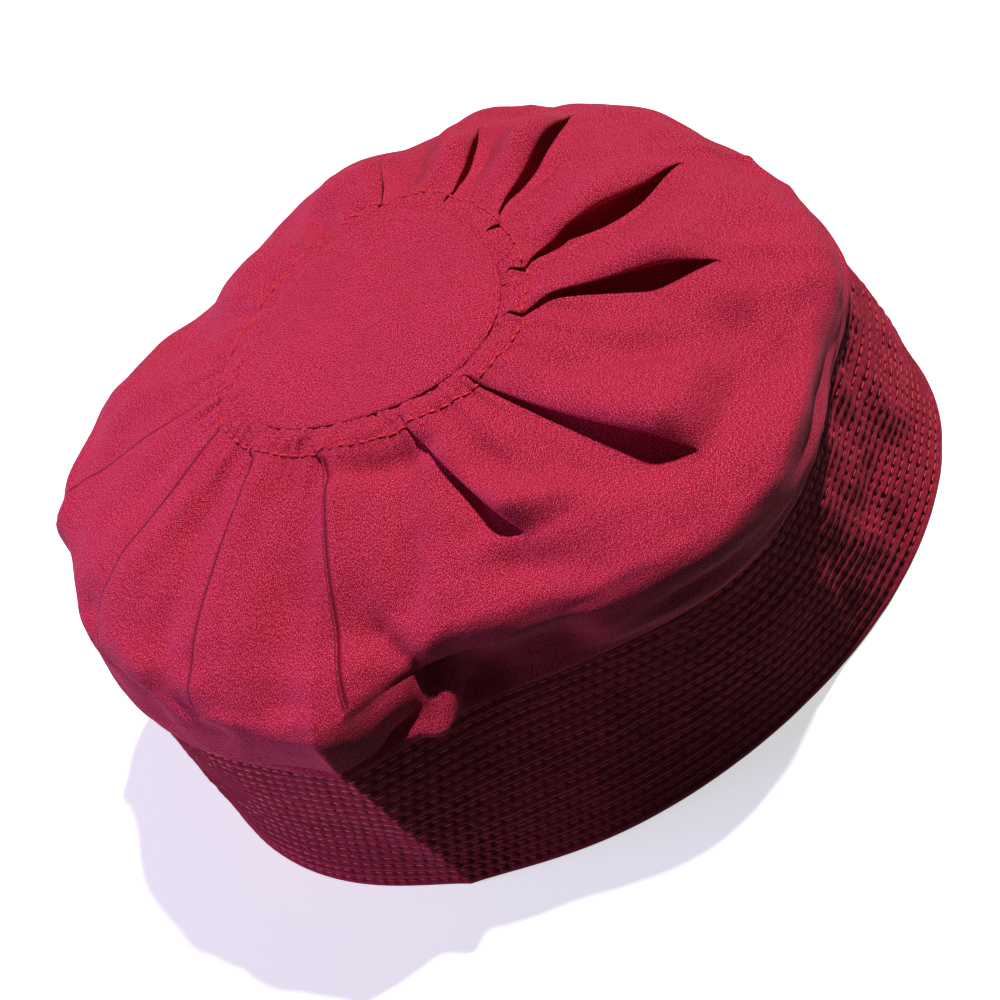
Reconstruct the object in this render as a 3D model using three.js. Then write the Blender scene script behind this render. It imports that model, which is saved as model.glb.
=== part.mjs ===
import * as THREE from 'three';

// A pleated cap of cotton twill, standing on its rim.
// Millimetres, +Z up, X along the head. Azimuths are degrees round Z from +X, seen from above.

// Driving sizes
const RIM_LENGTH = 204;
const RIM_WIDTH = 165.2;
const BAND_HEIGHT = 56;
const BAND_WALL = 2.4;
const ROW_PITCH = 3.2;
const ROW_GROOVE = 0.35;
const BAND_LEAN = 10;
const CROWN_HEIGHT = 94;
const CROWN_CLOTH = 1.2;
const SHOULDER_RISE = 10;
const SHOULDER_OVERHANG = 3;
const SHOULDER_SPREAD = 0.89;
const DISC_RADIUS = 32.7;
const DISC_CLOTH = 1.6;
const DISC_RISE = 2;
const DISC_DOME = 1;
const DISC_LEFT = 4.3;
const DISC_BACK = 4.3;
const LOBE = 2.1;
const STRIP_WIDTH = 6.3;
const STITCH_DIP = 0.5;
const PLEAT_HEIGHT = 7;
const DENT_DEPTH = 4;
const SEAM_GAP = 0.3;

// How finely the surfaces are cut
const BAND_COLUMNS = 64;
const DISC_COLUMNS = 48;
const CREASE_AT = -131.5;
const BACK_CREASE_AT = CREASE_AT + 180;

// Where the band leaves its oval: out is at its top edge, rim at its foot, both shares of the band's lean.
const BAND_SWELLS = [
  { name: 'front crease', at: CREASE_AT, reach: 11, sharp: true, out: 0.86, rim: 0 },
  { name: 'front bulge', at: -70, reach: 21, sharp: false, out: 1.04, rim: 0 },
  { name: 'hollow by the crease', at: -113, reach: 12, sharp: false, out: -0.24, rim: 0 },
  { name: 'back crease', at: BACK_CREASE_AT, reach: 14, sharp: true, out: 0.4, rim: 0 },
  { name: 'back bulge', at: 110, reach: 30, sharp: false, out: 0.3, rim: 0 },
  { name: 'right of the front', at: -34, reach: 15, sharp: false, out: -0.3, rim: 0 },
  { name: 'narrow end', at: 6, reach: 28, sharp: false, out: -0.56, rim: 0 },
  { name: 'flat side of it', at: 20, reach: 28, sharp: false, out: -0.5, rim: -0.5 },
  { name: 'wide end', at: 180, reach: 25, sharp: false, out: -0.15, rim: 0 },
];

// The crown's shape round the cap: rise and over are shares of the shoulder's sizes, square is how
// squarely the cloth turns over there, and cone the share of its height that it falls evenly before.
const CROWN_SECTIONS = [
  { at: -180, rise: 0.84, over: 0.7, square: 5, cone: 0.45 },
  { at: -150, rise: 0.6, over: 0.5, square: 4.5, cone: 0.5 },
  { at: -131, rise: 0.38, over: 0.2, square: 4, cone: 0.55 },
  { at: -110, rise: 1, over: 0.8, square: 4.4, cone: 0.6 },
  { at: -80, rise: 1.15, over: 1, square: 4.2, cone: 0.62 },
  { at: -55, rise: 1, over: 1, square: 3.8, cone: 0.62 },
  { at: -25, rise: 0.5, over: 0.4, square: 2.7, cone: 0.55 },
  { at: 0, rise: 0.2, over: 0.1, square: 3.2, cone: 0.5 },
  { at: 30, rise: 0.53, over: 0.1, square: 4.5, cone: 0.45 },
  { at: 60, rise: 0.75, over: 0.2, square: 4.3, cone: 0.45 },
  { at: 90, rise: 1, over: 0.2, square: 4, cone: 0.46 },
  { at: 120, rise: 1.15, over: 0.3, square: 4, cone: 0.4 },
  { at: 150, rise: 1.2, over: 0.5, square: 5.5, cone: 0.45 },
];

// One row for each knife pleat, anticlockwise. Its folded edge faces clockwise. ring, bend and hem are
// the edge's azimuths at the stitching, where the pleat ends and at the band, and soon is how early it
// bends. height is a share of the pleats' height, highest at peak and gone at reach, down the crown.
const PLEATS = [
  { name: 'wide left', ring: -183, bend: -174, hem: -175, soon: 0.6, height: 0.21, peak: 0.35, reach: 0.8 },
  { name: 'left', ring: -163, bend: -151, hem: -155, soon: 0.35, height: 0.2, peak: 0.3, reach: 0.92 },
  { name: 'crease', ring: -135, bend: -128, hem: CREASE_AT, soon: 0.25, height: 0.24, peak: 0.3, reach: 0.7 },
  { name: 'front', ring: -100, bend: -91, hem: -90, soon: 0.7, height: 0.72, peak: 0.34, reach: 0.43 },
  { name: 'front right', ring: -73.5, bend: -64, hem: -61, soon: 0.8, height: 0.9, peak: 0.42, reach: 0.56 },
  { name: 'right lower', ring: -46, bend: -27, hem: -25, soon: 0.35, height: 0.95, peak: 0.32, reach: 0.46 },
  { name: 'right', ring: -24, bend: 4, hem: 6, soon: 0.5, height: 1.05, peak: 0.25, reach: 0.5 },
  { name: 'right upper', ring: 5, bend: 34, hem: 36, soon: 0.4, height: 1, peak: 0.3, reach: 0.54 },
  { name: 'back right', ring: 37, bend: 52, hem: BACK_CREASE_AT, soon: 0.8, height: 0.75, peak: 0.22, reach: 0.44 },
  { name: 'back', ring: 65, bend: 74, hem: 74, soon: 1, height: 0.55, peak: 0.2, reach: 0.46 },
  { name: 'back left', ring: 92, bend: 121, hem: 118, soon: 0.9, height: 0.48, peak: 0.16, reach: 0.4 },
  { name: 'left back', ring: 132, bend: 140, hem: 138, soon: 0.8, height: 0.3, peak: 0.2, reach: 0.55 },
  { name: 'wide back', ring: 160, bend: 157, hem: 157, soon: 1, height: 0.21, peak: 0.2, reach: 0.75 },
];

// Where a pleat's columns lie between its own edge and the next one; the last but one is the valley.
const PANEL_SHARES = [0, 0.14, 0.32, 0.52, 0.72, 0.84, 0.92];
const VALLEY_SHARE = 0.92;
const VALLEY_DEPTH = 0.35;
const STRIP_LAYER = 0.14;

// Soft dents in the crown; a depth below nothing is a swelling. depth is a share of the dents' depth.
const DENTS = [
  { name: 'under the stitching', at: -112, along: 0.06, reach: 14, span: 0.06, depth: 0.6 },
  { name: 'fold by the crease', at: -114, along: 0.85, reach: 6, span: 0.26, depth: 1.1 },
  { name: 'hollow under it', at: -104, along: 1, reach: 8, span: 0.2, depth: 0.7 },
  { name: 'front dimple', at: -91, along: 0.58, reach: 6, span: 0.1, depth: 0.5 },
  { name: 'front right valley', at: -78, along: 0.34, reach: 7, span: 0.14, depth: 0.5 },
  { name: 'right valley', at: -50, along: 0.6, reach: 7, span: 0.14, depth: 0.5 },
];

// Rows of the crown from the band up: 2 at the band, 1 at its widest line, 0 at the stitching,
// then -1 at the disc's seam.
const CROWN_ROWS = [2, 1.6, 1.25, 1, 0.9, 0.8, 0.7, 0.58, 0.48, 0.4, 0.3, 0.2, 0.1, 0, -0.5, -1];

const radians = THREE.MathUtils.degToRad;
const smooth = THREE.MathUtils.smoothstep;
const mix = THREE.MathUtils.lerp;

function turnBetween(azimuth, centre) {
  return THREE.MathUtils.euclideanModulo(azimuth - centre + 180, 360) - 180;
}

function bump(azimuth, centre, reach) {
  return Math.exp(-((turnBetween(azimuth, centre) / reach) ** 2));
}

function ridge(azimuth, centre, reach) {
  return Math.exp(-Math.abs(turnBetween(azimuth, centre)) / reach);
}

// The band's outer radius; share is 0 at its foot and 1 at its top edge.
function bandRadius(azimuth, share) {
  const c = Math.cos(radians(azimuth)) / (RIM_LENGTH / 2);
  const s = Math.sin(radians(azimuth)) / (RIM_WIDTH / 2);
  let swell = 0;
  for (const row of BAND_SWELLS) {
    const form = row.sharp ? ridge : bump;
    swell += form(azimuth, row.at, row.reach) * mix(row.rim, row.out, share);
  }
  return 1 / Math.hypot(c, s) + BAND_LEAN * swell;
}

function around(azimuth, radius, z) {
  return new THREE.Vector3(radius * Math.cos(radians(azimuth)), radius * Math.sin(radians(azimuth)), z);
}

function crownSection(azimuth) {
  const turned = turnBetween(azimuth, 0);
  let k = CROWN_SECTIONS.length - 1;
  while (CROWN_SECTIONS[k].at > turned) k -= 1;
  const a = CROWN_SECTIONS[k];
  const b = CROWN_SECTIONS[(k + 1) % CROWN_SECTIONS.length];
  const span = THREE.MathUtils.euclideanModulo(b.at - a.at, 360);
  const t = smooth((turned - a.at) / span, 0, 1);
  const between = (name) => mix(a[name], b[name], t);
  return { rise: between('rise'), over: between('over'), square: between('square'), cone: between('cone') };
}

// The three soft corners of the disc and of the stitching round it.
function lobe(azimuth) {
  return LOBE * Math.cos(radians(3 * (azimuth - 60)));
}

// A point of the crown's smooth form, before pleats and dents.
function crownForm(azimuth, along) {
  const centre = new THREE.Vector3(-DISC_LEFT, DISC_BACK, 0);
  if (along <= 0) {
    const radius = DISC_RADIUS + SEAM_GAP + (STRIP_WIDTH - SEAM_GAP) * (1 + along) + lobe(azimuth);
    return around(azimuth, radius, CROWN_HEIGHT - DISC_RISE * along).add(centre);
  }
  const section = crownSection(azimuth);
  const hemHeight = BAND_HEIGHT + SEAM_GAP;
  const hemRadius = bandRadius(azimuth, 1);
  const widest = hemRadius + SHOULDER_OVERHANG * section.over;
  const widestHeight = hemHeight + SHOULDER_RISE * section.rise;
  if (along > 1) {
    const turn = (along - 1) * Math.PI / 2;
    const radius = hemRadius + (widest - hemRadius) * Math.cos(turn);
    return around(azimuth, radius, mix(widestHeight, hemHeight, Math.sin(turn)));
  }
  const out = Math.sin(along * Math.PI / 2) ** SHOULDER_SPREAD;
  const turnedOver = Math.max(1 - out ** section.square, 0) ** (1 / section.square);
  const up = mix(turnedOver, 1 - out, section.cone);
  const inner = around(azimuth, DISC_RADIUS + STRIP_WIDTH + lobe(azimuth), 0).add(centre);
  const point = inner.lerp(around(azimuth, widest, 0), out);
  point.z = mix(widestHeight, CROWN_HEIGHT, up);
  return point;
}

function crownNormal(azimuth, along) {
  const step = 0.02;
  const low = Math.min(along + step, 2);
  const high = Math.max(along - step, -1);
  const rising = crownForm(azimuth, high).sub(crownForm(azimuth, low));
  const turning = crownForm(azimuth + 1, along).sub(crownForm(azimuth - 1, along));
  return turning.cross(rising).normalize();
}

function pleatEdge(pleat, along) {
  const share = THREE.MathUtils.clamp(along / pleat.reach, 0, 1);
  const bent = mix(pleat.ring, pleat.bend, share ** pleat.soon);
  return mix(bent, pleat.hem, smooth(along, pleat.reach, 1));
}

function pleatSwell(pleat, along) {
  const rise = mix(STRIP_LAYER, 1, THREE.MathUtils.clamp(along / pleat.peak, 0, 1) ** 1.2);
  const fall = 1 - smooth(along, pleat.peak, pleat.reach);
  const strip = smooth(along, -1, -0.4);
  return PLEAT_HEIGHT * pleat.height * rise * fall * strip;
}

// How far the cloth stands off the smooth form, at a share of the panel between two pleat edges.
function panelLift(pleat, next, share, along) {
  const own = pleatSwell(pleat, along);
  const other = pleatSwell(next, along);
  const valley = -other * VALLEY_DEPTH;
  if (share <= VALLEY_SHARE) {
    const t = share / VALLEY_SHARE;
    return own * (1 - t) ** 1.5 + valley * smooth(t, 0.4, 1);
  }
  return mix(valley, other, (share - VALLEY_SHARE) / (1 - VALLEY_SHARE));
}

function dentLift(azimuth, along) {
  let lift = 0;
  for (const dent of DENTS) {
    const across = bump(azimuth, dent.at, dent.reach);
    lift -= DENT_DEPTH * dent.depth * across * Math.exp(-(((along - dent.along) / dent.span) ** 2));
  }
  return lift;
}

// One ring of the crown's outer face, column by column through all the pleats.
function crownRing(along) {
  const ring = [];
  for (let p = 0; p < PLEATS.length; p += 1) {
    const pleat = PLEATS[p];
    const next = PLEATS[(p + 1) % PLEATS.length];
    const start = pleatEdge(pleat, along);
    const width = THREE.MathUtils.euclideanModulo(pleatEdge(next, along) - start, 360);
    for (const share of PANEL_SHARES) {
      const azimuth = start + width * share;
      const dip = STITCH_DIP * Math.exp(-((along / 0.04) ** 2));
      const lift = panelLift(pleat, next, share, along) + dentLift(azimuth, along) - dip;
      ring.push(crownForm(azimuth, along).addScaledVector(crownNormal(azimuth, along), lift));
    }
  }
  return ring;
}

// The inner face lies one cloth below the outer one. The hem stays level and the seam's edge upright.
function insetRings(rings, cloth) {
  const last = rings.length - 1;
  return rings.map((ring, i) => ring.map((point, j) => {
    const before = ring[(j + ring.length - 1) % ring.length];
    const after = ring[(j + 1) % ring.length];
    const turning = after.clone().sub(before);
    const rising = rings[Math.min(i + 1, last)][j].clone().sub(rings[Math.max(i - 1, 0)][j]);
    const normal = turning.cross(rising);
    if (i === 0) normal.z = 0;
    if (i === last) normal.set(0, 0, 1);
    return point.clone().addScaledVector(normal.normalize(), -cloth);
  }));
}

// Joins rings of equal length into a closed skin: a ring-shaped body, or a solid one between two poles.
function skin(rings, startPole, endPole) {
  const columns = rings[0].length;
  const points = rings.flat();
  const index = [];
  const closed = startPole === undefined;
  const bands = closed ? rings.length : rings.length - 1;
  for (let i = 0; i < bands; i += 1) {
    const near = i * columns;
    const far = ((i + 1) % rings.length) * columns;
    for (let j = 0; j < columns; j += 1) {
      const k = (j + 1) % columns;
      index.push(near + j, near + k, far + k);
      index.push(near + j, far + k, far + j);
    }
  }
  if (!closed) {
    const start = points.push(startPole) - 1;
    const end = points.push(endPole) - 1;
    const lastRing = (rings.length - 1) * columns;
    for (let j = 0; j < columns; j += 1) {
      const k = (j + 1) % columns;
      index.push(start, k, j);
      index.push(lastRing + j, lastRing + k, end);
    }
  }
  const geometry = new THREE.BufferGeometry().setFromPoints(points);
  geometry.setIndex(index);
  geometry.computeVertexNormals();
  return geometry;
}

function bandRing(height, inset) {
  const ring = [];
  for (let j = 0; j < BAND_COLUMNS; j += 1) {
    const azimuth = CREASE_AT + j * 360 / BAND_COLUMNS;
    ring.push(around(azimuth, bandRadius(azimuth, height / BAND_HEIGHT) - inset, height));
  }
  return ring;
}

// The band: a wall of stiffened cloth with a shallow groove along each row of stitching.
function bandGeometry() {
  const rings = [bandRing(0, 0)];
  const rows = Math.floor((BAND_HEIGHT - ROW_PITCH / 4) / ROW_PITCH);
  for (let row = 0; row < rows; row += 1) {
    rings.push(bandRing((row + 0.5) * ROW_PITCH, 0));
    rings.push(bandRing((row + 1) * ROW_PITCH, ROW_GROOVE));
  }
  rings.push(bandRing(BAND_HEIGHT, 0));
  for (const share of [1, 0.5, 0]) {
    rings.push(bandRing(BAND_HEIGHT * share, BAND_WALL));
  }
  return skin(rings);
}

// The crown: one cloth, pleated round the disc and puffed over the band.
function crownGeometry() {
  const outer = CROWN_ROWS.map(crownRing);
  const inner = insetRings(outer, CROWN_CLOTH);
  return skin([...outer, ...inner.reverse()]);
}

function discRing(share, z) {
  const ring = [];
  for (let j = 0; j < DISC_COLUMNS; j += 1) {
    const azimuth = j * 360 / DISC_COLUMNS;
    const point = around(azimuth, (DISC_RADIUS + lobe(azimuth)) * share, z);
    ring.push(point.add(new THREE.Vector3(-DISC_LEFT, DISC_BACK, 0)));
  }
  return ring;
}

// The centre piece: a slightly domed round of cloth, level with the strip that is sewn round it.
function discGeometry() {
  const edge = CROWN_HEIGHT + DISC_RISE;
  const dome = (share) => edge + DISC_DOME * (1 - share * share);
  const rings = [
    discRing(0.5, dome(0.5) - DISC_CLOTH),
    discRing(1, edge - DISC_CLOTH),
    discRing(1, edge),
    discRing(0.75, dome(0.75)),
    discRing(0.4, dome(0.4)),
  ];
  const under = new THREE.Vector3(-DISC_LEFT, DISC_BACK, edge + DISC_DOME - DISC_CLOTH);
  const over = new THREE.Vector3(-DISC_LEFT, DISC_BACK, edge + DISC_DOME);
  return skin(rings, under, over);
}

function cloth(name, geometry, colour, roughness) {
  const material = new THREE.MeshStandardMaterial({ color: colour, roughness, metalness: 0 });
  const mesh = new THREE.Mesh(geometry, material);
  mesh.name = name;
  return mesh;
}

const cap = new THREE.Group();
cap.add(cloth('band', bandGeometry(), 0x7a1230, 0.8));
cap.add(cloth('crown', crownGeometry(), 0xa8193c, 0.85));
cap.add(cloth('top_disc', discGeometry(), 0xb01d40, 0.85));

// The origin is below the middle of the whole cap, on the surface that the rim rests on.
const middle = new THREE.Box3().setFromObject(cap).getCenter(new THREE.Vector3());
cap.position.set(-middle.x, -middle.y, 0);

export default cap;
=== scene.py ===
import math
import random

import bpy
from mathutils import Matrix, Vector, noise


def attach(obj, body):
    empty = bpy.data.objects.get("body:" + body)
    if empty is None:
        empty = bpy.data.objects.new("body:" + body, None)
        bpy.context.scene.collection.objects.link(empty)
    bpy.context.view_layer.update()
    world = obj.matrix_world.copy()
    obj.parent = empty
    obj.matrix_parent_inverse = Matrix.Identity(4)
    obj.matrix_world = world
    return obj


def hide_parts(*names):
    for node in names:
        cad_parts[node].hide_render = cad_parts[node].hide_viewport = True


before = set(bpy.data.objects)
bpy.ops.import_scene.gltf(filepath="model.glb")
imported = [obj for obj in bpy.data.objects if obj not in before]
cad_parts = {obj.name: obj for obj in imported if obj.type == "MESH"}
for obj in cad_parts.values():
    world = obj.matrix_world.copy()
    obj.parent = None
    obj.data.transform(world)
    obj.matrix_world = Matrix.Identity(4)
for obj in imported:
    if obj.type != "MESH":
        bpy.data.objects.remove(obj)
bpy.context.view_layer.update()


# Floor
# A plain pale table top that the cap rests on. It is wide enough to fill every view, and matt.
floor_size = 8.0
bpy.ops.object.select_all(action="DESELECT")
bpy.ops.mesh.primitive_plane_add(size=floor_size, location=(0, 0, 0))
floor = bpy.context.object
floor.name = "floor"
floor_paint = bpy.data.materials.new("pale_floor")
floor_paint.use_nodes = True
floor_shader = floor_paint.node_tree.nodes["Principled BSDF"]
floor_shader.inputs["Base Color"].default_value = (0.9, 0.9, 0.91, 1)
floor_shader.inputs["Roughness"].default_value = 0.9
floor_shader.inputs["Emission Color"].default_value = (0.97, 0.98, 1.0, 1)
floor_shader.inputs["Emission Strength"].default_value = 0.62
floor.data.materials.append(floor_paint)
floor.visible_diffuse = False


# Lights
# A high key light from the right end, slightly behind it, rakes over the pleats. A wide lilac light
# low at the back left fills the side away from it, and the sky adds very little.
key_to_light = Vector((0.405, 0.08, 0.905))
fill_aim = Vector((0, 0, 0.05))
bpy.ops.object.light_add(type="SUN")
key = bpy.context.object
key.name = "key_light"
key.data.energy = 4.1
key.data.angle = math.radians(3)
key.data.color = (1.0, 0.965, 0.93)
key.rotation_euler = key_to_light.to_track_quat("Z", "Y").to_euler()

bpy.ops.object.light_add(type="AREA")
sky_left = bpy.context.object
sky_left.name = "sky_left"
sky_left.data.shape = "DISK"
sky_left.data.size = 0.7
sky_left.data.energy = 19.0
sky_left.data.color = (0.64, 0.48, 1.0)
sky_left.location = (-1.21, 0.32, 0.23)
sky_left.rotation_euler = (sky_left.location - fill_aim).to_track_quat("Z", "Y").to_euler()

sky = bpy.data.worlds.new("studio")
bpy.context.scene.world = sky
sky.use_nodes = True
sky.node_tree.nodes["Background"].inputs["Color"].default_value = (0.75, 0.78, 1.0, 1)
sky.node_tree.nodes["Background"].inputs["Strength"].default_value = 0.035


# Camera
# A long lens held above the front, turned so that the cap's upright leans to the upper left.
camera_turn = math.radians(35.4)
camera_place = Vector((0.00228, -0.45624, 0.43738))
camera_aim = Vector((-0.00217, 0.00096, 0.03468))
bpy.ops.object.camera_add(location=camera_place)
camera = bpy.context.object
camera.name = "camera"
camera.data.lens = 91.1
camera.data.sensor_width = 36
camera.data.clip_start = 0.01
camera.rotation_mode = "QUATERNION"
straight = (camera_place - camera_aim).to_track_quat("Z", "Y")
camera.rotation_quaternion = straight @ Matrix.Rotation(-camera_turn, 3, "Z").to_quaternion()
bpy.context.scene.camera = camera
bpy.context.scene.view_settings.view_transform = "Standard"


# Side band
# Several layers of cotton twill round a stiffener, closed into an oval ring and quilted by close rows
# of machine stitching. It is pressed to a sharp upright crease at the front left. The cloth puckers
# between the stitches.
rim_length = 0.204
rim_width = 0.1652
rim_middle = Vector((0.00175, 0.00387, 0))
band_height = 0.056
band_wall = 0.0024
band_lean = 0.010
edge_round = 0.0006
row_pitch = 0.0032
row_count = 17
row_groove = 0.00065
row_wander = 0.0007
stitches_round = 200
pucker = 0.0007
crease_azimuth = -131.5

# Needle holes, as shares of the row pitch: how far they slant and reach, and where a row ends
hole_slant = 0.6
hole_reach = 0.3
row_reach = 0.9

# The rim flares a little round the front right, and is held from waving by its own seam
rim_flare = 0.0019
flare_height = 0.016
flare_azimuth = -66
flare_width = 64
rim_hold = 0.12
hold_height = 0.025

band_swells = [
    # azimuth, reach in degrees, sharp, shares of the lean at the top edge and at the rim
    (crease_azimuth, 11, True, 0.86, 0),
    (crease_azimuth, 6, True, 0, 0.18),
    (crease_azimuth, 14, False, 0, -0.12),
    (-70, 21, False, 1.04, 0),
    (-113, 12, False, -0.24, 0),
    (crease_azimuth + 180, 14, True, 0.4, 0),
    (110, 30, False, 0.3, 0),
    (-34, 15, False, -0.3, 0),
    (6, 28, False, -0.56, 0),
    (20, 28, False, -0.5, -0.5),
    (180, 25, False, -0.15, 0),
]

band_waves = [
    # how close the waves are round the band and up it, a shift that parts them, and their size
    (2.4, 26, 0, 0.0016),
    (6, 70, 5, 0.0004),
    (30, 300, 0, 0.0002),
]
handled_size = 0.0013
handled_azimuth = -34
handled_width = 52


def turn_between(azimuth, centre):
    return (azimuth - centre + 180) % 360 - 180


def bump(azimuth, centre, reach):
    return math.exp(-((turn_between(azimuth, centre) / reach) ** 2))


def fold_line(azimuth, centre, reach):
    return math.exp(-abs(turn_between(azimuth, centre)) / reach)


def smooth(value, low, high):
    share = min(max((value - low) / (high - low), 0), 1)
    return share * share * (3 - 2 * share)


def mix(a, b, share):
    return a + (b - a) * share


def around(azimuth, radius, z):
    turned = math.radians(azimuth)
    return Vector((radius * math.cos(turned), radius * math.sin(turned), z))


def uneven(azimuth, closeness, upward):
    """A smooth chance value from -1 to 1, which joins up with itself round the cap."""
    turned = math.radians(azimuth)
    return noise.noise(Vector((math.cos(turned) * closeness, math.sin(turned) * closeness, upward)))


def band_radius(azimuth, share):
    c = math.cos(math.radians(azimuth)) / (rim_length / 2)
    s = math.sin(math.radians(azimuth)) / (rim_width / 2)
    swell = 0
    for at, reach, sharp, out, rim in band_swells:
        form = fold_line if sharp else bump
        swell += form(azimuth, at, reach) * mix(rim, out, share)
    return 1 / math.hypot(c, s) + band_lean * swell


def row_line(row, azimuth):
    """The height of a row of stitching, which wanders a little as it goes round."""
    return row_pitch * row + row_wander * uneven(azimuth, 2.6, row * 0.35)


def quilting(azimuth, z):
    """How far the band's face stands in from its smooth form, in its rows and at its needle holes."""
    row = min(max(round(z / row_pitch), 1), row_count)
    near = (z - row_line(row, azimuth)) / row_pitch
    if abs(near) > row_reach:
        return 0
    soft = math.cos(min(abs(near), 0.5) * math.pi) ** 2
    turned = stitches_round * azimuth / 360 + 0.5 * (row % 2) + hole_slant * near
    hole = (0.5 + 0.5 * math.cos(2 * math.pi * turned)) ** 3
    by_chance = 1 + 0.9 * uneven(azimuth, 60, z * 420)
    by_crease = 1 + 1.2 * bump(azimuth, crease_azimuth + 5, 4)
    return row_groove * soft + pucker * hole * math.exp(-((near / hole_reach) ** 2)) * by_chance * by_crease


def band_wave(azimuth, z):
    """Slow waves and small dents of a band that has been handled, most at the right front."""
    waves = 0
    for round_it, up_it, shift, size in band_waves:
        waves += size * uneven(azimuth, round_it, z * up_it + shift)
    handled = uneven(azimuth, 11, z * 75 + 2) * bump(azimuth, handled_azimuth, handled_width)
    waves += handled_size * handled
    flare = rim_flare * math.exp(-z / flare_height) * bump(azimuth, flare_azimuth, flare_width)
    return waves * mix(rim_hold, 1, smooth(z, 0, hold_height)) + flare


# The band's cut through its wall, in rows of faces: up the face, over, down inside, and under
band_columns = 960
face_rows = 88
over_rows = 3
inside_rows = 6
under_rows = 2
wall_rows = face_rows + over_rows + inside_rows + under_rows


def band_point(across, round_wall):
    azimuth = crease_azimuth + 360 * across
    step = round_wall * wall_rows
    if step <= face_rows:
        z = band_height * step / face_rows
        rounded = edge_round * (math.exp(-z / edge_round) + math.exp(-(band_height - z) / edge_round))
        radius = band_radius(azimuth, z / band_height) - quilting(azimuth, z) - rounded
        return around(azimuth, radius + band_wave(azimuth, z), z)
    if step <= face_rows + over_rows:
        share = (step - face_rows) / over_rows
        radius = band_radius(azimuth, 1) - mix(edge_round, band_wall, share)
        return around(azimuth, radius + band_wave(azimuth, band_height) * (1 - share), band_height)
    if step <= face_rows + over_rows + inside_rows:
        share = (step - face_rows - over_rows) / inside_rows
        return around(azimuth, band_radius(azimuth, 1 - share) - band_wall, band_height * (1 - share))
    share = (step - face_rows - over_rows - inside_rows) / under_rows
    radius = band_radius(azimuth, 0) - mix(band_wall, edge_round, share)
    return around(azimuth, radius + band_wave(azimuth, 0) * share, 0)


def sewn_round(name, columns, rows, panels, place):
    """A length of cloth put in place point by point and joined end to end.

    The weave is laid on it by its true lengths, from the middle of each panel.
    """
    bpy.ops.object.select_all(action="DESELECT")
    bpy.ops.mesh.primitive_grid_add(x_subdivisions=columns, y_subdivisions=rows, size=1)
    piece = bpy.context.object
    piece.name = name
    mesh = piece.data
    spots = [(round((v.co.x + 0.5) * columns), round((v.co.y + 0.5) * rows)) for v in mesh.vertices]
    points = {spot: place(spot[0] / columns, spot[1] / rows) + rim_middle for spot in spots}
    for vertex, spot in zip(mesh.vertices, spots):
        vertex.co = points[spot]
    run = {}
    for row in range(rows + 1):
        run[0, row] = 0
        for column in range(columns):
            step = (points[column + 1, row] - points[column, row]).length
            run[column + 1, row] = run[column, row] + step
    middle = [round((panel + 0.5) * columns / panels) for panel in range(panels)]
    climb = {}
    for panel, column in enumerate(middle):
        climb[panel, 0] = 0
        for row in range(rows):
            step = (points[column, row + 1] - points[column, row]).length
            climb[panel, row + 1] = climb[panel, row] + step
    weave = mesh.uv_layers.active.data
    for face in mesh.polygons:
        panel = min(spots[k][0] for k in face.vertices) * panels // columns
        for loop in face.loop_indices:
            column, row = spots[mesh.loops[loop].vertex_index]
            weave[loop].uv = (run[column, row] - run[middle[panel], row], climb[panel, row])
    bpy.ops.object.mode_set(mode="EDIT")
    bpy.ops.mesh.select_all(action="SELECT")
    bpy.ops.mesh.remove_doubles(threshold=0.00002)
    bpy.ops.mesh.normals_make_consistent(inside=False)
    bpy.ops.object.mode_set(mode="OBJECT")
    bpy.ops.object.shade_smooth()
    return piece


band = sewn_round("side_band", band_columns, wall_rows, 1, band_point)

# The twill's slanting ribs, whose texture repeats every 0.314 at a scale of 1, and its relief
rib_pitch = 0.00043
rib_slant = math.radians(52)
texture_pitch = 0.314
weave_depth = 0.00012


def colour_over(cloth, factor, under, over, blend="MIX"):
    """Lays a colour over another colour, or over what a node gives, as far as the factor says."""
    node = cloth.node_tree.nodes.new("ShaderNodeMix")
    node.data_type = "RGBA"
    node.blend_type = blend
    cloth.node_tree.links.new(factor, node.inputs["Factor"])
    if isinstance(under, tuple):
        node.inputs["A"].default_value = (*under, 1)
    else:
        cloth.node_tree.links.new(under, node.inputs["A"])
    node.inputs["B"].default_value = (*over, 1)
    return node.outputs["Result"]


def from_to(cloth, value, low, high):
    """Runs from 0 to 1 as the value goes from low to high."""
    node = cloth.node_tree.nodes.new("ShaderNodeValToRGB")
    node.color_ramp.elements[0].position = low
    node.color_ramp.elements[1].position = high
    cloth.node_tree.links.new(value, node.inputs["Fac"])
    return node.outputs["Color"]


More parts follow.
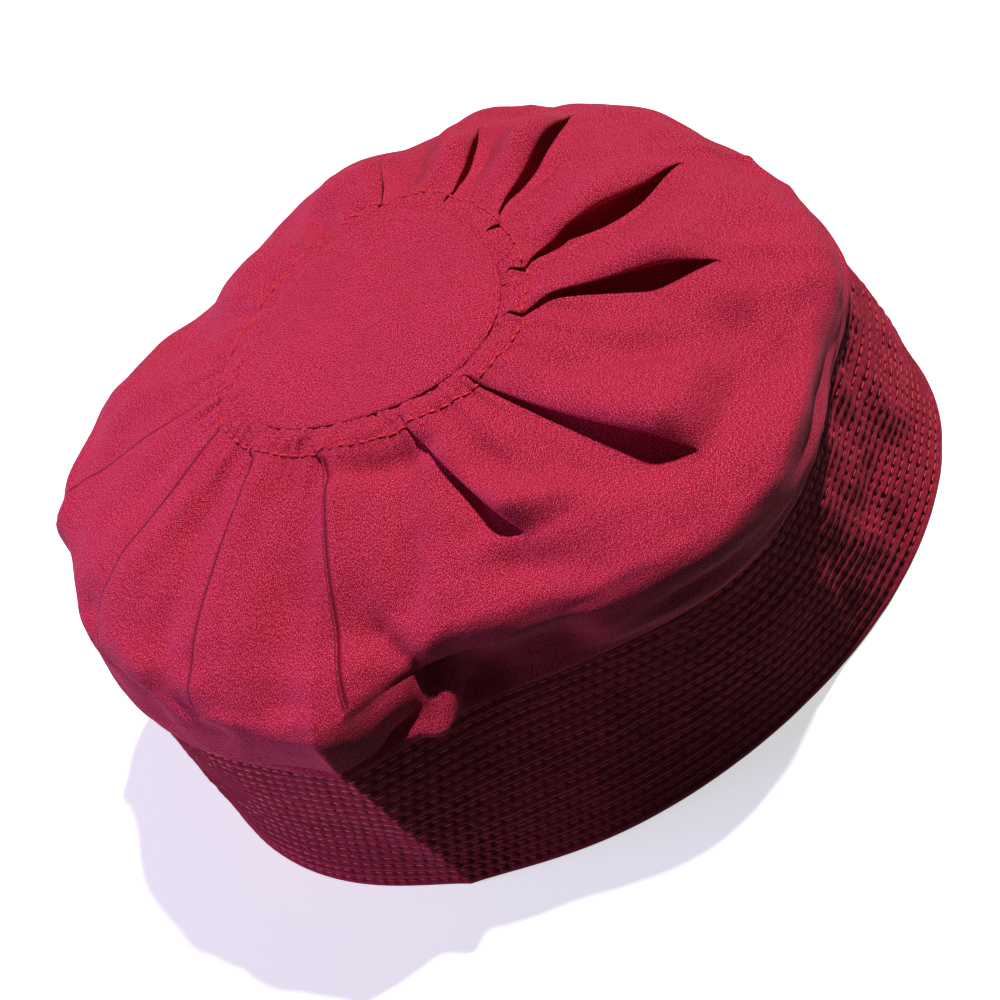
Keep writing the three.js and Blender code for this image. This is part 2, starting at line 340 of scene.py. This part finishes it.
def twill(name, colour, light_thread):
    """Cotton twill: fine slanting ribs of warp over weft, uneven threads and a soft pinkish bloom."""
    cloth = bpy.data.materials.new(name)
    cloth.use_nodes = True
    nodes = cloth.node_tree.nodes
    links = cloth.node_tree.links
    shader = nodes["Principled BSDF"]
    shader.inputs["Roughness"].default_value = 0.82
    shader.inputs["Specular IOR Level"].default_value = 0.12
    shader.inputs["Sheen Weight"].default_value = 0.10
    shader.inputs["Sheen Roughness"].default_value = 0.4
    shader.inputs["Sheen Tint"].default_value = (1.0, 0.30, 0.42, 1)

    flat = nodes.new("ShaderNodeTexCoord")
    slant = nodes.new("ShaderNodeMapping")
    slant.inputs["Rotation"].default_value = (0, 0, rib_slant)
    links.new(flat.outputs["UV"], slant.inputs["Vector"])
    ribs = nodes.new("ShaderNodeTexWave")
    ribs.wave_type = "BANDS"
    ribs.bands_direction = "X"
    ribs.inputs["Scale"].default_value = texture_pitch / rib_pitch
    ribs.inputs["Distortion"].default_value = 3.0
    ribs.inputs["Detail"].default_value = 3.0
    ribs.inputs["Detail Scale"].default_value = 1.2
    links.new(slant.outputs["Vector"], ribs.inputs["Vector"])

    drawn = nodes.new("ShaderNodeMapping")
    drawn.inputs["Rotation"].default_value = (0, 0, rib_slant)
    drawn.inputs["Scale"].default_value = (1.7, 0.9, 1)
    links.new(flat.outputs["UV"], drawn.inputs["Vector"])
    threads = nodes.new("ShaderNodeTexNoise")
    threads.inputs["Scale"].default_value = 3050
    threads.inputs["Detail"].default_value = 1.0
    threads.inputs["Roughness"].default_value = 0.5
    links.new(drawn.outputs["Vector"], threads.inputs["Vector"])
    patches = nodes.new("ShaderNodeTexNoise")
    patches.inputs["Scale"].default_value = 38
    patches.inputs["Detail"].default_value = 4.0
    links.new(flat.outputs["Object"], patches.inputs["Vector"])

    dark_thread = (colour[0] * 0.84, colour[1] * 0.1, colour[2] * 0.55)
    speckle = from_to(cloth, threads.outputs["Fac"], 0.52, 0.62)
    speckled = colour_over(cloth, speckle, dark_thread, light_thread)
    ribbed = colour_over(cloth, ribs.outputs["Fac"], speckled, (0.78, 0.66, 0.70), "MULTIPLY")
    clouded = colour_over(cloth, patches.outputs["Fac"], ribbed, (0.88, 0.82, 0.84), "MULTIPLY")
    # Painted shade: a thin dark line along each flat pleat's folded edge, from the cloth's attribute
    fold = nodes.new("ShaderNodeAttribute")
    fold.attribute_name = "painted_fold_shade"
    fold_shade = (colour[0] * 0.36, colour[1] * 0.2, colour[2] * 0.34)
    shaded = colour_over(cloth, from_to(cloth, fold.outputs["Fac"], 0.42, 0.75), clouded, fold_shade)
    links.new(shaded, shader.inputs["Base Color"])

    relief = nodes.new("ShaderNodeMath")
    relief.operation = "MULTIPLY_ADD"
    relief.inputs[1].default_value = 0.6
    links.new(ribs.outputs["Fac"], relief.inputs[0])
    links.new(threads.outputs["Fac"], relief.inputs[2])
    raised = nodes.new("ShaderNodeBump")
    raised.inputs["Strength"].default_value = 0.9
    raised.inputs["Distance"].default_value = weave_depth
    links.new(relief.outputs["Value"], raised.inputs["Height"])
    links.new(raised.outputs["Normal"], shader.inputs["Normal"])
    return cloth


crimson = (0.46, 0.012, 0.046)
band_cloth = twill("band_twill", crimson, (0.72, 0.065, 0.15))
band.data.materials.append(band_cloth)
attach(band, "root")
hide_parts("band")


# Crown
# One length of thin cotton twill, laid in knife pleats that all fold the same way and are sewn round
# the centre piece. The pleats open into a soft puffed top, which turns over and is caught in the
# band's upper edge.
crown_height = 0.094
crown_thickness = 0.0005
shoulder_rise = 0.010
shoulder_overhang = 0.003
shoulder_spread = 0.89
disc_radius = 0.0327
disc_rise = 0.002
disc_middle = Vector((-0.0043, 0.0043, 0))
strip_width = 0.0063
lobe_size = 0.0021
seam_gap = 0.0003
stitch_dip = 0.0006
strip_stitch_count = 94

# Sizes of the gathers by the stitching, of those on the strip, and of the puffed cloth's waves
gather_size = 0.0016
strip_gather = 0.0005
strip_pinch = 0.0008
wave_size = 0.0020
small_wave_size = 0.0007

# How deep the strip is pushed below the centre piece's edge, least and most, and where it is most
groove_least = 0.0002
groove_most = 0.0008
groove_azimuth = -45
groove_width = 85

crown_sections = [
    # azimuth, shares of the shoulder's rise and overhang, how squarely the cloth turns over there, and
    # the share of its height that it falls evenly before, like a cone
    (-180, 0.84, 0.7, 5.0, 0.45),
    (-150, 0.60, 0.5, 5.5, 0.50),
    (-131, 0.38, 0.2, 6.0, 0.55),
    (-110, 1.00, 0.8, 5.0, 0.60),
    (-80, 1.15, 1.0, 4.6, 0.62),
    (-55, 1.00, 1.0, 4.2, 0.62),
    (-25, 0.50, 0.7, 3.4, 0.55),
    (0, 0.20, 0.0, 3.2, 0.50),
    (30, 0.53, 0.1, 4.5, 0.45),
    (60, 0.75, 0.2, 4.3, 0.45),
    (90, 1.00, 0.2, 4.0, 0.46),
    (120, 1.15, 0.3, 4.0, 0.40),
    (150, 1.20, 0.5, 5.5, 0.45),
]

pleats = [
    # azimuth of the folded edge at the stitching, at its end and at the band; how soon it turns there;
    # height in metres, where it is highest and where it ends, 0 at the stitching and 1 at the widest;
    # opening, tuck and roll of the fold in metres
    (-183, -174, -175, 0.6, 0.0012, 0.35, 0.84, 0.0006, 0.0008, 0.0030),
    (-163, -151, -155, 0.35, 0.0011, 0.30, 0.96, 0.0006, 0.0008, 0.0030),
    (-135, -127, crease_azimuth, 0.25, 0.0012, 0.35, 0.86, 0.0006, 0.0008, 0.0030),
    (-100, -91, -90, 0.7, 0.0064, 0.34, 0.43, 0.0034, 0.0026, 0.0030),
    (-73.5, -64, -61, 0.8, 0.0066, 0.42, 0.56, 0.0036, 0.0028, 0.0034),
    (-46, -27, -25, 0.35, 0.0072, 0.25, 0.44, 0.0036, 0.0036, 0.0036),
    (-24, 4, 6, 0.5, 0.0080, 0.16, 0.50, 0.0040, 0.0040, 0.0038),
    (5, 34, 36, 0.4, 0.0076, 0.20, 0.54, 0.0036, 0.0040, 0.0036),
    (37, 52, crease_azimuth + 180, 0.8, 0.0056, 0.16, 0.44, 0.0030, 0.0028, 0.0030),
    (65, 74, 74, 1.0, 0.0052, 0.20, 0.50, 0.0034, 0.0024, 0.0028),
    (92, 121, 118, 0.9, 0.0044, 0.16, 0.44, 0.0026, 0.0018, 0.0028),
    (132, 140, 138, 0.8, 0.0026, 0.20, 0.60, 0.0016, 0.0014, 0.0028),
    (160, 157, 157, 1.0, 0.0012, 0.20, 0.80, 0.0006, 0.0008, 0.0030),
]

cloth_lines = [
    # depth (a pressed ridge has a negative one) and half widths to the left and right in metres, sharp,
    # then the line's points as azimuth and place down the crown: 0 at the stitching, 1 at the widest, 2
    # at the band
    (-0.0014, 0.0020, 0.0020, True, ((15, 0.20), (10, 0.42), (6, 0.63), (5, 0.83), (-6, 0.83))),
    (-0.0010, 0.0018, 0.0018, True, ((-14, 0.09), (-21, 0.29), (-24, 0.46), (-24, 0.58), (-23, 0.82))),
    (0.0022, 0.0055, 0.0055, False, ((-48, 0.25), (-41, 0.53))),
    (0.0022, 0.0060, 0.0060, False, ((-58, 0.44), (-53, 0.51), (-45, 0.71), (-43, 0.75))),
    (0.0024, 0.0060, 0.0060, False, ((-88, 0.18), (-81, 0.29), (-73, 0.41), (-68, 0.51))),
    (0.0022, 0.0050, 0.0050, False, ((-96, 0.51), (-86, 0.67))),
    (-0.0012, 0.0018, 0.0018, True, ((-42, 0.02), (-59, 0.06))),
    (0.0026, 0.0036, 0.0036, False, ((-97, 0.05), (-113, 0.06), (-128, 0.03))),
    (0.0058, 0.0036, 0.0085, True,
     ((-121, 0.52), (-118.5, 0.66), (-116.5, 0.80), (-115, 0.96), (-112, 1.40))),
    (0.0034, 0.0060, 0.0060, False, ((-110, 0.90), (-104, 1.00), (-96, 1.15))),
    (0.0022, 0.0045, 0.0070, False, ((-121, 0.80), (-117, 0.92), (-109, 1.15))),
    (0.0024, 0.0026, 0.0026, False, ((-115, 0.98), (-119, 1.08), (-124, 1.25))),
    (-0.0044, 0.0050, 0.0026, False, ((-113.5, 1.15), (-116, 1.28), (-118, 1.60))),
    (0.0016, 0.0040, 0.0040, False, ((-108, 0.10), (-112, 0.30), (-115, 0.50))),
    (0.0012, 0.0050, 0.0050, False, ((-141, 0.05), (-138, 0.35), (-137, 0.70))),
    (0.0014, 0.0045, 0.0045, False, ((-168, 0.10), (-162, 0.30), (-160, 0.55))),
    (0.0020, 0.0042, 0.0042, False, ((-158, 0.74), (-153, 0.90), (-148, 0.96))),
    (0.0020, 0.0050, 0.0050, False, ((-178, 0.66), (-168, 0.82), (-164, 0.95))),
    (-0.0012, 0.0045, 0.0045, False, ((-35, 0.44), (-33, 0.60), (-28, 0.84))),
    (0.0016, 0.0060, 0.0060, False, ((20, 0.55), (18, 0.70), (14, 0.85))),
    (0.0018, 0.0045, 0.0045, False, ((58, 0.10), (62, 0.28), (63, 0.50))),
    (0.0018, 0.0050, 0.0050, False, ((-60, 0.12), (-50, 0.28), (-47, 0.45))),
    (0.0018, 0.0050, 0.0050, False, ((84, 0.05), (90, 0.20), (96, 0.40))),
    (-0.0012, 0.0020, 0.0020, True, ((71, 0.07), (80, 0.05))),
    (-0.0020, 0.0036, 0.0036, False, ((161, 0.80), (161, 1.00))),
    (0.0028, 0.0100, 0.0100, False, ((169, 0.90), (-177, 0.95), (-163, 0.98))),
    (-0.0012, 0.0060, 0.0060, False, ((140, 0.60), (139, 0.85))),
    (0.0058, 0.0130, 0.0130, False, ((124, 0.40), (116, 0.70), (112, 0.85))),
    (-0.0026, 0.0110, 0.0110, False, ((90, 0.45), (84, 0.40), (78, 0.55))),
    (-0.0024, 0.0070, 0.0070, False, ((58, 0.42), (55, 0.75))),
    (0.0018, 0.0080, 0.0080, False, ((46, 0.58), (45, 0.90))),
    (-0.0016, 0.0100, 0.0100, False, ((28, 0.72), (16, 0.72))),
    (0.0016, 0.0100, 0.0100, False, ((2, 0.80), (-14, 1.00))),
    (-0.0012, 0.0045, 0.0045, False, ((-28, 0.96), (-46, 0.93), (-62, 0.92))),
    (0.0018, 0.0060, 0.0060, False, ((-64, 0.60), (-58, 0.59), (-53, 0.65))),
]


def lobe(azimuth):
    """The centre piece isn't quite round: it bulges a little in three directions."""
    return lobe_size * math.cos(math.radians(3 * (azimuth - 60)))


def crown_section(azimuth):
    turned = turn_between(azimuth, 0)
    k = len(crown_sections) - 1
    while crown_sections[k][0] > turned:
        k -= 1
    a = crown_sections[k]
    b = crown_sections[(k + 1) % len(crown_sections)]
    share = smooth((turned - a[0]) / ((b[0] - a[0]) % 360), 0, 1)
    return [mix(a[i], b[i], share) for i in (1, 2, 3, 4)]


def crown_form(azimuth, along):
    """The crown's smooth form.

    It is given by along: 2 at the band, 1 at its widest, 0 at the stitching and -1 at the seam.
    """
    if along <= 0:
        radius = disc_radius + strip_width * (1 + along) + lobe(azimuth)
        return around(azimuth, radius, crown_height - disc_rise * along) + disc_middle
    rise, over, square, cone = crown_section(azimuth)
    hem_radius = band_radius(azimuth, 1)
    widest = hem_radius + shoulder_overhang * over
    hem_height = band_height + seam_gap
    widest_height = hem_height + shoulder_rise * rise
    if along > 1:
        turned = (along - 1) * math.pi / 2
        radius = hem_radius + (widest - hem_radius) * math.cos(turned)
        return around(azimuth, radius, mix(widest_height, hem_height, math.sin(turned)))
    turned = along * math.pi / 2
    out = max(math.sin(turned), 0) ** shoulder_spread
    up = mix(max(1 - out**square, 0) ** (1 / square), 1 - out, cone)
    inner = around(azimuth, disc_radius + strip_width + lobe(azimuth), 0) + disc_middle
    point = inner.lerp(around(azimuth, widest, 0), out)
    point.z = mix(widest_height, crown_height, up)
    return point


def crown_normal(azimuth, along):
    """The way the smooth form faces, from places a small step away down it and round it."""
    down_step = 0.02
    round_step = 0.7
    along = max(along, down_step - 1)
    low = min(along + down_step, 2)
    high = along - down_step
    rising = crown_form(azimuth, high) - crown_form(azimuth, low)
    turning = crown_form(azimuth + round_step, along) - crown_form(azimuth - round_step, along)
    return turning.cross(rising).normalized()


def pleat_edge(pleat, along):
    """The azimuth of a pleat's folded edge."""
    ring, bend, hem, soon = pleat[:4]
    reach = pleat[6]
    turned = mix(ring, bend, min(max(along / reach, 0), 1) ** soon)
    return mix(turned, hem, smooth(along, reach, 1))


def pleat_rise(pleat, along):
    """How fully a pleat stands up: a puffed one most at its peak, a flat one nearly all along."""
    height, peak, reach = pleat[4:7]
    flat = 1 - smooth(height, 0.0014, 0.0030)
    rise = mix(mix(0.16, 0.8, flat), 1, min(max(along / peak, 0), 1) ** 1.2)
    fall = 1 - smooth(along, mix(peak, 0.85 * reach, flat), reach * 1.04)
    return rise * fall * smooth(along, -0.9, -0.2)


def crown_wrinkle(azimuth, along):
    """Fine gathers by the stitching, and slow soft waves over the puffed cloth."""
    gathers = uneven(azimuth, 8, along * 2.0)
    tight = uneven(azimuth, 26, along * 1.5 + 11)
    waves = uneven(azimuth, 3.4, along * 3.4 + 7)
    small = uneven(azimuth, 8.5, along * 8 + 3)
    near = smooth(along, -0.1, 0.12) * (1 - smooth(along, 0.12, 0.6))
    strip = smooth(along, -1.1, -0.8) * (1 - smooth(along, 0.02, 0.12))
    broad = smooth(along, 0.05, 0.4) * (1 - 0.6 * smooth(along, 1, 1.8))
    by_stitching = gather_size * gathers * near
    on_strip = (strip_gather * gathers + strip_pinch * tight) * strip
    on_cloth = (wave_size * waves + small_wave_size * small) * broad
    return by_stitching + on_strip + on_cloth


def seam_groove(azimuth):
    """How far the strip lies below the centre piece's edge: most where deep pleats push it down."""
    return mix(groove_least, groove_most, bump(azimuth, groove_azimuth, groove_width))


def stitch_puckers(azimuth, along):
    """The strip is drawn down along its stitching, most at the needle holes."""
    hole = (0.5 + 0.5 * math.cos(math.radians(azimuth) * strip_stitch_count)) ** 2
    return -stitch_dip * mix(0.7, 1, hole) * math.exp(-((along / 0.03) ** 2))


def crown_lines(place):
    """The dents, valleys and pressed creases of the crown at one place of its smooth form."""
    depth = 0
    for deep, left, right, sharp, line in cloth_line_places:
        nearest = 1
        aside = 0
        for a, b in zip(line, line[1:]):
            along_line = max(min((place - a).dot(b - a) / (b - a).length_squared, 1), 0)
            away = place - a.lerp(b, along_line)
            if away.length < nearest:
                nearest = away.length
                aside = (b - a).cross(away).z / (b - a).length
        if nearest < 4 * max(left, right):
            reach = mix(right, left, smooth(aside / max(nearest, 0.0001), -1, 1))
            form = math.exp(-nearest / reach) if sharp else math.exp(-((nearest / reach) ** 2))
            depth += deep * form
    return depth


cloth_line_places = [
    (deep, left, right, sharp, [crown_form(azimuth, along) for azimuth, along in line])
    for deep, left, right, sharp, line in cloth_lines
]

# Columns of faces across one pleat and where its bends fall in them, then rows down the crown
panel_columns = 44
panel_knots = (0, 4, 8, 12, 21, 33, 44)
crown_rows = 86

# Where a pleat pressed flat bends, in metres from its folded edge, and a raised one's valley, the
# heights of its tuck and face, and places and heights on its way down to the next, all as shares
flat_bends = (-0.0036, -0.0020, -0.0006, 0.0012)
valley_share = 0.32
tuck_share = 0.26
face_share = 0.66
upper_slope = (0.30, 0.62)
lower_slope = (0.66, 0.16)
next_share = 0.35
pleat_cuts = {}


def pleat_bends(index, along):
    """The bends of one pleat's cut: distance from its folded edge and lift, both in metres."""
    own = pleats[index % len(pleats)]
    other = pleats[(index + 1) % len(pleats)]
    height, opening, tuck, roll = own[4], own[7], own[8], own[9]
    start = pleat_edge(own, along)
    turn = (pleat_edge(other, along) - start) % 360
    degree = (crown_form(start + turn / 2 + 1, along) - crown_form(start + turn / 2 - 1, along)).length / 2
    width = turn * degree
    rise = pleat_rise(own, along)
    next_rise = pleat_rise(other, along)
    top = height * rise
    low = -valley_share * top
    next_low = -valley_share * other[4] * next_rise
    folded = smooth(top, 0.0002, 0.0008)
    room = min(1, width / 0.016)
    open_now = opening * mix(0.25, 1, rise) * room
    tuck_now = min(tuck, 0.7 * top) * room
    roll_now = roll * mix(0.6, 1, rise) * room
    bends = [
        (mix(flat_bends[0] * room, -open_now, folded), low),
        (mix(flat_bends[1] * room, tuck_now, folded), mix(low, top, tuck_share)),
        (mix(flat_bends[2] * room, -0.12 * top, folded), mix(low, top, face_share)),
        (mix(flat_bends[3] * room, roll_now, folded), top),
        (mix(roll_now, width, upper_slope[0]), upper_slope[1] * top),
        (mix(roll_now, width, lower_slope[0]), lower_slope[1] * top + next_share * next_low),
    ]
    return start, degree, width, bends


def pleat_cut(index, along):
    """The same bends with those of the neighbours, so that the curve through them runs on."""
    if (index, along) not in pleat_cuts:
        before = pleat_bends(index - 1, along)
        start, degree, width, bends = pleat_bends(index, along)
        after = pleat_bends(index + 1, along)
        first = (before[3][-1][0] - before[2], before[3][-1][1])
        last = [(x + width, y) for x, y in after[3][:2]]
        pleat_cuts[index, along] = (start, degree, [first] + bends + last)
    return pleat_cuts[index, along]


def through(bends, t):
    """A smooth curve between the middle two of four bends, which heads from the first to the last."""
    a, b, c, d = (Vector(bend) for bend in bends)
    span = (c - b).length
    leaving = (c - a) * (span / max((b - a).length + span, 0.000001))
    arriving = (d - b) * (span / max((d - c).length + span, 0.000001))
    from_b = (1 + 2 * t) * (1 - t) ** 2
    from_c = t * t * (3 - 2 * t)
    return b * from_b + c * from_c + leaving * (t * (1 - t) ** 2) + arriving * (t * t * (t - 1))


# Shares of the rows that lie below the widest place and between it and the stitching, how far the
# cloth runs on under the centre piece, and how far it drops there
hem_share = 0.14
puff_share = 0.74
strip_share = 0.12
run_under = 1.25
under_drop = 0.0018

# Painted shade: the thin dark line beside a flat pleat's folded edge. How far from it and how wide, in
# metres
painted_shade_middle = 0.0004
painted_shade_reach = 0.0020
painted_shade_places = {}


def crown_point(across, down):
    """A point of the pleated cloth: across goes through the panels, down from the band to the seam."""
    place = across * len(pleats)
    index = min(int(place + 0.0001), len(pleats) - 1)
    column = (place - index) * panel_columns
    if down < hem_share:
        along = 2 - down / hem_share
    elif down < hem_share + puff_share:
        along = 1 - (down - hem_share) / puff_share
    else:
        along = -run_under * (down - hem_share - puff_share) / strip_share
    along = round(along, 6)
    knot = 0
    while column > panel_knots[knot + 1] + 0.0001:
        knot += 1
    t = (column - panel_knots[knot]) / (panel_knots[knot + 1] - panel_knots[knot])
    start, degree, bends = pleat_cut(index, along)
    aside, lift = through(bends[knot:knot + 4], t)
    azimuth = start + aside / degree
    form = crown_form(azimuth, along)
    if along > 0:
        lift -= crown_lines(form) * smooth(along, 0, 0.06)
    lift += crown_wrinkle(azimuth, along) + stitch_puckers(azimuth, along)
    if along > 1:
        lift *= 1 - smooth(along, 1.5, 2)
    if along < 0:
        lift -= seam_groove(azimuth) * smooth(-along, 0.5, 1)
        lift -= under_drop * smooth(-along, 1.02, run_under)
    point = form + crown_normal(azimuth, along) * lift
    # Painted shade: a thin dark line beside a flat pleat's folded edge, fading where the pleat ends
    height, reach = pleats[index][4], pleats[index][6]
    if column >= panel_knots[2] and 0 < along < reach:
        near_edge = max(1 - abs(aside - painted_shade_middle) / painted_shade_reach, 0)
        flat = 1 - smooth(height, 0.0015, 0.003)
        fading = smooth(reach - along, 0, 0.1)
        painted_shade_places[tuple(round(v, 5) for v in point)] = near_edge * flat * fading
    return point


crown = sewn_round("crown_cloth", len(pleats) * panel_columns, crown_rows, len(pleats), crown_point)
# The painted shade along flat pleats' folded edges is stored on the cloth's points for the twill to read
painted_fold_shade = crown.data.attributes.new("painted_fold_shade", "FLOAT", "POINT")
for k, vertex in enumerate(crown.data.vertices):
    place = vertex.co - rim_middle
    painted_fold_shade.data[k].value = painted_shade_places.get(tuple(round(v, 5) for v in place), 0)
solidify = crown.modifiers.new("cloth_thickness", "SOLIDIFY")
solidify.thickness = crown_thickness
solidify.offset = -1
bpy.ops.object.modifier_apply(modifier=solidify.name)
crown_twill = twill("crown_twill", crimson, (0.92, 0.115, 0.24))
crown.data.materials.append(crown_twill)
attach(crown, "root")
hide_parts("crown")


# Centre piece
# A round of the same twill, very slightly domed, with its edge turned under where the pleated strip
# is sewn to it.
disc_dome = 0.001
disc_thickness = 0.0006
disc_edge = 0.0002
disc_waves = 0.0002
edge_sag = 0.0002
edge_sag_reach = 0.012
disc_steps = (0.006, 0.010, 0.016, 0.028, 0.05) + (0.089,) * 9
bpy.ops.object.select_all(action="DESELECT")
bpy.ops.mesh.primitive_circle_add(vertices=120, radius=1, fill_type="NGON")
disc = bpy.context.object
disc.name = "centre_piece"
bpy.ops.object.mode_set(mode="EDIT")
bpy.ops.mesh.select_all(action="SELECT")
for step in disc_steps:
    bpy.ops.mesh.inset(thickness=step, depth=0)
bpy.ops.mesh.poke()
bpy.ops.object.mode_set(mode="OBJECT")
disc_uv = disc.data.uv_layers.active
for loop in disc.data.loops:
    flat_place = disc.data.vertices[loop.vertex_index].co
    disc_uv.data[loop.index].uv = (flat_place.x * disc_radius, flat_place.y * disc_radius)
for vertex in disc.data.vertices:
    share = min(math.hypot(vertex.co.x, vertex.co.y), 1)
    azimuth = math.degrees(math.atan2(vertex.co.y, vertex.co.x))
    radius = (disc_radius + disc_edge + lobe(azimuth) * share) * share
    sag = (edge_sag + 0.5 * seam_groove(azimuth)) * math.exp(-(1 - share) / edge_sag_reach)
    z = crown_height + disc_rise + disc_dome * (1 - share**2) - sag
    z += disc_waves * noise.noise(Vector((vertex.co.x * 2.5, vertex.co.y * 2.5, 3)))
    vertex.co = around(azimuth, radius, z) + disc_middle + rim_middle
thickness = disc.modifiers.new("cloth_thickness", "SOLIDIFY")
thickness.thickness = disc_thickness
thickness.offset = -1
bpy.ops.object.modifier_apply(modifier=thickness.name)
bpy.ops.object.shade_smooth()
disc.data.materials.append(crown_twill)
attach(disc, "root")
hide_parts("top_disc")


# Threads
# Red polyester sewing thread. One stitch is modelled and repeated along the quilting rows and round
# the strip that holds the pleats. Each is a short rounded length that dips into the cloth at both ends.
row_thread_width = 0.00038
row_stitch_length = 0.0029
row_stitch_rise = 0.00005
strip_thread_width = 0.00072
strip_stitch_length = 0.0022
strip_stitch_rise = 0.00015

# Degrees to look along a row for its direction, and how far out and how high to look for the cloth from
look_along = 0.4
outside = 0.15
overhead = 0.13


def thread_finish(name, colour):
    finish = bpy.data.materials.new(name)
    finish.use_nodes = True
    nodes = finish.node_tree.nodes
    links = finish.node_tree.links
    shader = nodes["Principled BSDF"]
    shader.inputs["Roughness"].default_value = 0.4
    shader.inputs["Specular IOR Level"].default_value = 0.5
    shader.inputs["Specular Tint"].default_value = (1.0, 0.45, 0.40, 1)
    place = nodes.new("ShaderNodeTexCoord")
    shade = nodes.new("ShaderNodeTexNoise")
    shade.inputs["Scale"].default_value = 900
    links.new(place.outputs["Object"], shade.inputs["Vector"])
    shadow = (colour[0] * 0.7, colour[1] * 0.6, colour[2] * 0.6)
    links.new(colour_over(finish, shade.outputs["Fac"], shadow, colour), shader.inputs["Base Color"])
    return finish


bpy.ops.object.select_all(action="DESELECT")
bpy.ops.mesh.primitive_uv_sphere_add(segments=6, ring_count=5, radius=0.5)
stitch = bpy.context.object
stitch_points = [v.co.copy() for v in stitch.data.vertices]
stitch_faces = [tuple(p.vertices) for p in stitch.data.polygons]
bpy.data.objects.remove(stitch)


def sew(name, stitches, thread_width):
    """Joins copies of the stitch, each given by its middle, run, length and the cloth's normal."""
    points = []
    faces = []
    for middle, run, length, out in stitches:
        side = out.cross(run).normalized()
        up = run.cross(side).normalized()
        first = len(points)
        for p in stitch_points:
            points.append(middle + run * p.z * length + side * p.x * thread_width + up * p.y * thread_width)
        faces += [tuple(first + k for k in face) for face in stitch_faces]
    mesh = bpy.data.meshes.new(name)
    mesh.from_pydata(points, [], faces)
    thread = bpy.data.objects.new(name, mesh)
    bpy.context.collection.objects.link(thread)
    bpy.ops.object.select_all(action="DESELECT")
    thread.select_set(True)
    bpy.context.view_layer.objects.active = thread
    bpy.ops.object.mode_set(mode="EDIT")
    bpy.ops.mesh.select_all(action="SELECT")
    bpy.ops.mesh.normals_make_consistent(inside=False)
    bpy.ops.object.mode_set(mode="OBJECT")
    bpy.ops.object.shade_smooth()
    return thread


def row_place(row, azimuth, share):
    return around(azimuth, band_radius(azimuth, share), row_line(row, azimuth))


chance = random.Random(7)
row_stitches = []
for row in range(1, row_count + 1):
    for k in range(stitches_round):
        azimuth = (k + 0.5 - 0.5 * (row % 2)) * 360 / stitches_round + chance.uniform(-0.06, 0.06)
        z = row_line(row, azimuth)
        out = around(azimuth, 1, 0)
        middle = band.ray_cast(around(azimuth, outside, z) + rim_middle, -out)[1] + out * row_stitch_rise
        ahead = row_place(row, azimuth + look_along, z / band_height)
        behind = row_place(row, azimuth - look_along, z / band_height)
        run = (ahead - behind).normalized()
        run = (run + Vector((0, 0, chance.uniform(-0.07, 0.07)))).normalized()
        row_stitches.append((middle, run, row_stitch_length * chance.uniform(0.80, 0.90), out))
band_thread = sew("band_stitches", row_stitches, row_thread_width)
red_thread = thread_finish("red_thread", (0.68, 0.028, 0.045))
band_thread.data.materials.append(red_thread)
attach(band_thread, "root")


def strip_place(azimuth):
    """The place on the pleated cloth, below a point high over the strip's stitching line."""
    above = crown_form(azimuth, 0) + rim_middle
    above.z = overhead
    return crown.ray_cast(above, Vector((0, 0, -1)))[1]


strip_stitches = []
for k in range(strip_stitch_count):
    azimuth = (k + 0.5 + chance.uniform(-0.06, 0.06)) * 360 / strip_stitch_count
    run = strip_place(azimuth + 1) - strip_place(azimuth - 1)
    middle = strip_place(azimuth) + Vector((0, 0, strip_stitch_rise))
    strip_stitches.append((middle, run.normalized(), strip_stitch_length, crown_normal(azimuth, 0)))
strip_thread = sew("strip_stitches", strip_stitches, strip_thread_width)
strip_thread.data.materials.append(red_thread)
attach(strip_thread, "root")
